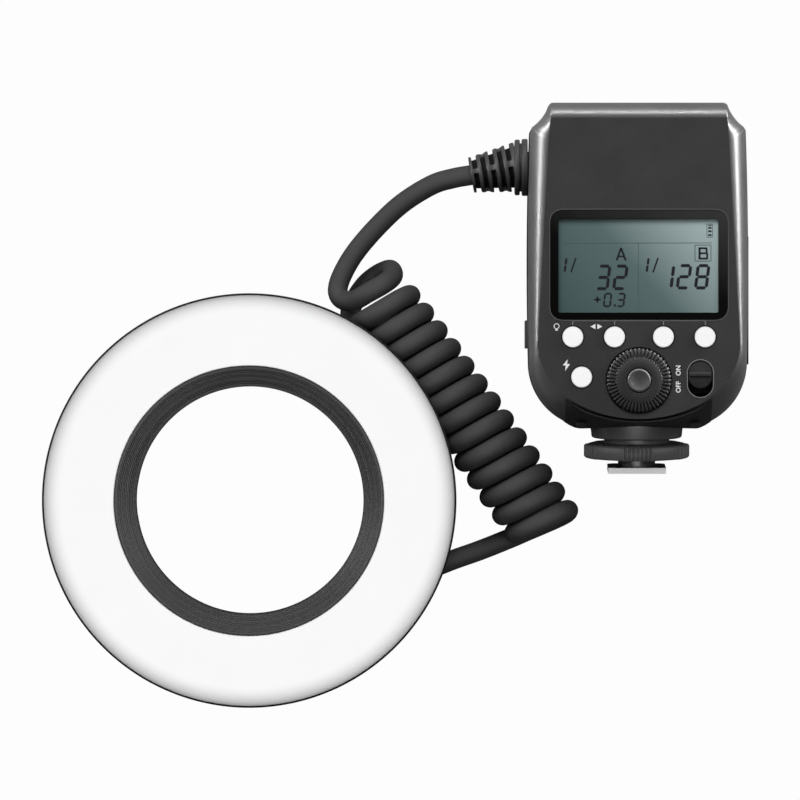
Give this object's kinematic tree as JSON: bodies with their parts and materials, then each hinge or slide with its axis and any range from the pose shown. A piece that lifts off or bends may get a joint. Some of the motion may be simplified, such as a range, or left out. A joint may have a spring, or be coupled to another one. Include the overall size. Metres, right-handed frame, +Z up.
{
  "type": "macro ring flash",
  "caption": "Macro ring flash: a ring-shaped light for the front of a lens, joined by a curly cord to a control unit with a display, buttons, a dial and a camera shoe foot.",
  "frame": {"origin": "on the ring head's axis, at its back face, where the lens adapter seats", "axes": "+Z up, away from the table and out of the ring head's diffuser and the unit's display; +X from the ring head to the control unit; +Y from the unit's foot to its top"},
  "size_m": [0.2271, 0.1943, 0.0561],
  "materials": {
    "panel_plastic": "fine satin grain",
    "body_plastic": "fine satin grain",
    "control_plastic": "satin",
    "white_plastic": "satin",
    "window": "polished",
    "lcd": "polished",
    "light_guide": "satin",
    "board": "satin",
    "steel": "brushed",
    "shoe_metal": "polished",
    "gold": "polished",
    "capacitor": "polished",
    "cell": "gloss",
    "key_rubber": "matte",
    "rubber": "satin",
    "diffuser": "frosted",
    "reflector": "polished",
    "tube_glass": "clear",
    "lamp": "clear",
    "baffle": "matte"
  },
  "bodies": {
    "control_unit": {"front_cover": "panel_plastic", "rear_cover": "body_plastic", "display_window": "window", "lcd_panel": "lcd", "backlight_frame": "light_guide", "switch_body": "steel", "dial_encoder": "steel", "key_mat": "key_rubber", "main_board": "board", "board_screws": "steel", "cover_screws": "steel", "flash_capacitor": "capacitor", "battery_box": "body_plastic", "battery_cells": "cell", "battery_contacts": "steel", "socket_block": "body_plastic", "base_plate": "body_plastic", "base_screws": "steel", "foot_base": "steel", "foot_nut": "steel", "lock_collar": "control_plastic", "shoe_foot": "shoe_metal", "shoe_contacts": "gold", "unit_cord_relief": "rubber", "cord_upper_lead": "rubber", "cord_curl": "rubber"},
    "ring_head": {"ring_housing": "body_plastic", "diffuser": "diffuser", "baffle_ring": "baffle", "reflector": "reflector", "flash_tube_left": "tube_glass", "flash_tube_right": "tube_glass", "lamp_leds": "lamp", "ring_board": "board", "ring_screws": "steel", "ring_cord_relief": "rubber", "cord_lower_lead": "rubber"},
    "lamp_button": {"lamp_button": "white_plastic"},
    "mode_button": {"mode_button": "white_plastic"},
    "function_button": {"function_button": "white_plastic"},
    "ratio_button": {"ratio_button": "white_plastic"},
    "test_button": {"test_button": "white_plastic"},
    "select_dial": {"select_dial": "control_plastic"},
    "set_button": {"set_button": "control_plastic"},
    "power_switch": {"power_switch": "control_plastic"},
    "battery_door": {"battery_door": "body_plastic"},
    "socket_cover": {"socket_cover": "rubber"},
    "pressure_plate": {"pressure_plate": "steel"},
    "lock_wheel": {"lock_wheel": "control_plastic"},
    "locking_pin": {"locking_pin": "steel"},
    "latch_right": {"latch_right": "control_plastic"},
    "latch_left": {"latch_left": "control_plastic"}
  },
  "joints": [
    {"name": "lamp_press", "type": "slide", "parent": "control_unit", "child": "lamp_button", "axis": [0, 0, -1], "range_m": [0, 0.0006], "stiffness_N_per_m": 300, "springref_m": -0.001},
    {"name": "mode_press", "type": "slide", "parent": "control_unit", "child": "mode_button", "axis": [0, 0, -1], "range_m": [0, 0.0006], "stiffness_N_per_m": 300, "springref_m": -0.001},
    {"name": "function_press", "type": "slide", "parent": "control_unit", "child": "function_button", "axis": [0, 0, -1], "range_m": [0, 0.0006], "stiffness_N_per_m": 300, "springref_m": -0.001},
    {"name": "ratio_press", "type": "slide", "parent": "control_unit", "child": "ratio_button", "axis": [0, 0, -1], "range_m": [0, 0.0006], "stiffness_N_per_m": 300, "springref_m": -0.001},
    {"name": "test_press", "type": "slide", "parent": "control_unit", "child": "test_button", "axis": [0, 0, -1], "range_m": [0, 0.0006], "stiffness_N_per_m": 300, "springref_m": -0.001},
    {"name": "set_press", "type": "slide", "parent": "control_unit", "child": "set_button", "axis": [0, 0, -1], "range_m": [0, 0.0006], "stiffness_N_per_m": 300, "springref_m": -0.001},
    {"name": "dial_turn", "type": "hinge", "parent": "control_unit", "child": "select_dial", "pos_m": [0.1248, 0.0386, 0.054], "axis": [0, 0, 1], "continuous": true},
    {"name": "power_slide", "type": "slide", "parent": "control_unit", "child": "power_switch", "axis": [0, -1, 0], "range_m": [0, 0.0026]},
    {"name": "battery_door_swing", "type": "hinge", "parent": "control_unit", "child": "battery_door", "pos_m": [0.159, 0.0643, 0.03795], "axis": [0, -1, 0], "range_deg": [0, 90]},
    {"name": "socket_cover_swing", "type": "hinge", "parent": "control_unit", "child": "socket_cover", "pos_m": [0.0905, 0.0535, 0.0312], "axis": [0, 1, 0], "range_deg": [0, 95]},
    {"name": "plate_slide", "type": "slide", "parent": "control_unit", "child": "pressure_plate", "axis": [0, -0.9969, -0.0785], "range_m": [0, 0.0009]},
    {"name": "wheel_turn", "type": "hinge", "parent": "pressure_plate", "child": "lock_wheel", "pos_m": [0.1248, 0.0249, 0.024], "axis": [0, -0.9969, -0.0785], "range_deg": [0, 270]},
    {"name": "pin_slide", "type": "slide", "parent": "control_unit", "child": "locking_pin", "axis": [0, -0.9969, -0.0785], "range_m": [0, 0.0014]},
    {"name": "ring_pull", "type": "slide", "parent": "control_unit", "child": "ring_head", "axis": [0.5616, -0.8274, 0], "range_m": [0, 0.12], "stiffness_N_per_m": 15, "deforming": ["cord_curl"]},
    {"name": "right_latch_press", "type": "slide", "parent": "ring_head", "child": "latch_right", "axis": [-1, 0, 0], "range_m": [0, 0.0016], "stiffness_N_per_m": 400, "springref_m": -0.002},
    {"name": "left_latch_press", "type": "slide", "parent": "ring_head", "child": "latch_left", "axis": [1, 0, 0], "range_m": [0, 0.0016], "stiffness_N_per_m": 400, "springref_m": -0.002}
  ],
  "couplings": [
    {"joint": "wheel_turn", "follows": "plate_slide", "rad_per_m": 5236},
    {"joint": "pin_slide", "follows": "plate_slide", "ratio": 1.5556}
  ]
}
